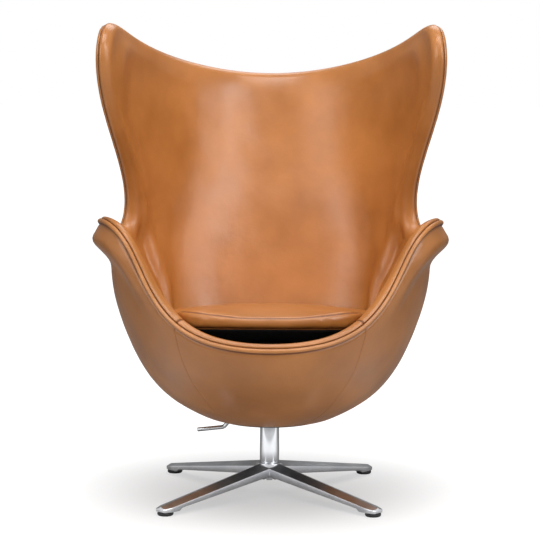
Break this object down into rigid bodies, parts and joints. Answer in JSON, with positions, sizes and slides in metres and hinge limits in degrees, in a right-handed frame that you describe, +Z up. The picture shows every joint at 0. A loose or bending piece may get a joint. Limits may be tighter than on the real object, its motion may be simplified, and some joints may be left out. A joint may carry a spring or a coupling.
{
  "type": "lounge chair",
  "caption": "Egg-shaped leather lounge chair with wings and rolled arms, a loose seat cushion, a tilt lever and a polished four-star swivel base.",
  "frame": {"origin": "on the floor, in line with the column", "axes": "+Z up, the seat faces -Y, +X to the viewer's right when looking at the front; left and right in names are as seen from the front"},
  "size_m": [0.8012, 0.7564, 1.0831],
  "materials": {
    "polished_aluminium": "polished",
    "chrome": "polished",
    "steel": "satin",
    "black_paint": "satin",
    "nylon": "matte",
    "black_plastic": "matte",
    "rubber": "matte",
    "moulded_core": "matte",
    "glass_fibre": "matte",
    "foam": "matte",
    "tan_leather": "gloss",
    "black_cloth": "matte"
  },
  "bodies": {
    "base": {"star_base": "polished_aluminium", "column_tube": "chrome", "column_upper_bush": "nylon", "column_lower_bush": "nylon", "hub_nut": "chrome", "glide_pads": "black_plastic", "glide_screws": "steel"},
    "swivel": {"swivel_spindle": "steel", "thrust_washer": "nylon", "spindle_circlip": "steel", "tilt_housing": "black_paint", "torsion_bushes": "rubber", "tilt_axle": "steel", "axle_clips": "steel", "tilt_stops": "rubber", "lever_bush": "nylon"},
    "lever": {"lock_lever": "steel"},
    "seat": {"seat_bracket": "black_paint", "bracket_bolts": "steel", "bracket_nuts": "steel", "insert_plate": "steel", "mounting_ring": "glass_fibre", "opening_trim": "black_plastic", "shell_core": "moulded_core", "shell_foam": "foam", "front_cover": "tan_leather", "right_arm_cover": "tan_leather", "left_arm_cover": "tan_leather", "back_cover": "tan_leather", "inner_cover": "tan_leather", "edge_welt": "tan_leather", "seat_lining": "black_cloth"},
    "cushion": {"cushion_foam": "foam", "cushion_cover": "tan_leather", "cushion_base_cloth": "black_cloth"}
  },
  "joints": [
    {"name": "swivel_turn", "type": "hinge", "parent": "base", "child": "swivel", "pos_m": [0, 0, 0.168], "axis": [0, 0, 1], "continuous": true},
    {"name": "seat_tilt", "type": "hinge", "parent": "swivel", "child": "seat", "pos_m": [0, 0, 0.1875], "axis": [-1, 0, 0], "range_deg": [0, 12], "stiffness_Nm_per_rad": 150, "springref_deg": -20.05},
    {"name": "lever_swing", "type": "hinge", "parent": "swivel", "child": "lever", "pos_m": [0, -0.034, 0.1875], "axis": [-1, 0, 0], "range_deg": [0, 35]},
    {"name": "cushion_lift", "type": "slide", "parent": "seat", "child": "cushion", "axis": [0, -0.1961, 0.9806], "range_m": [0, 0.25]}
  ]
}
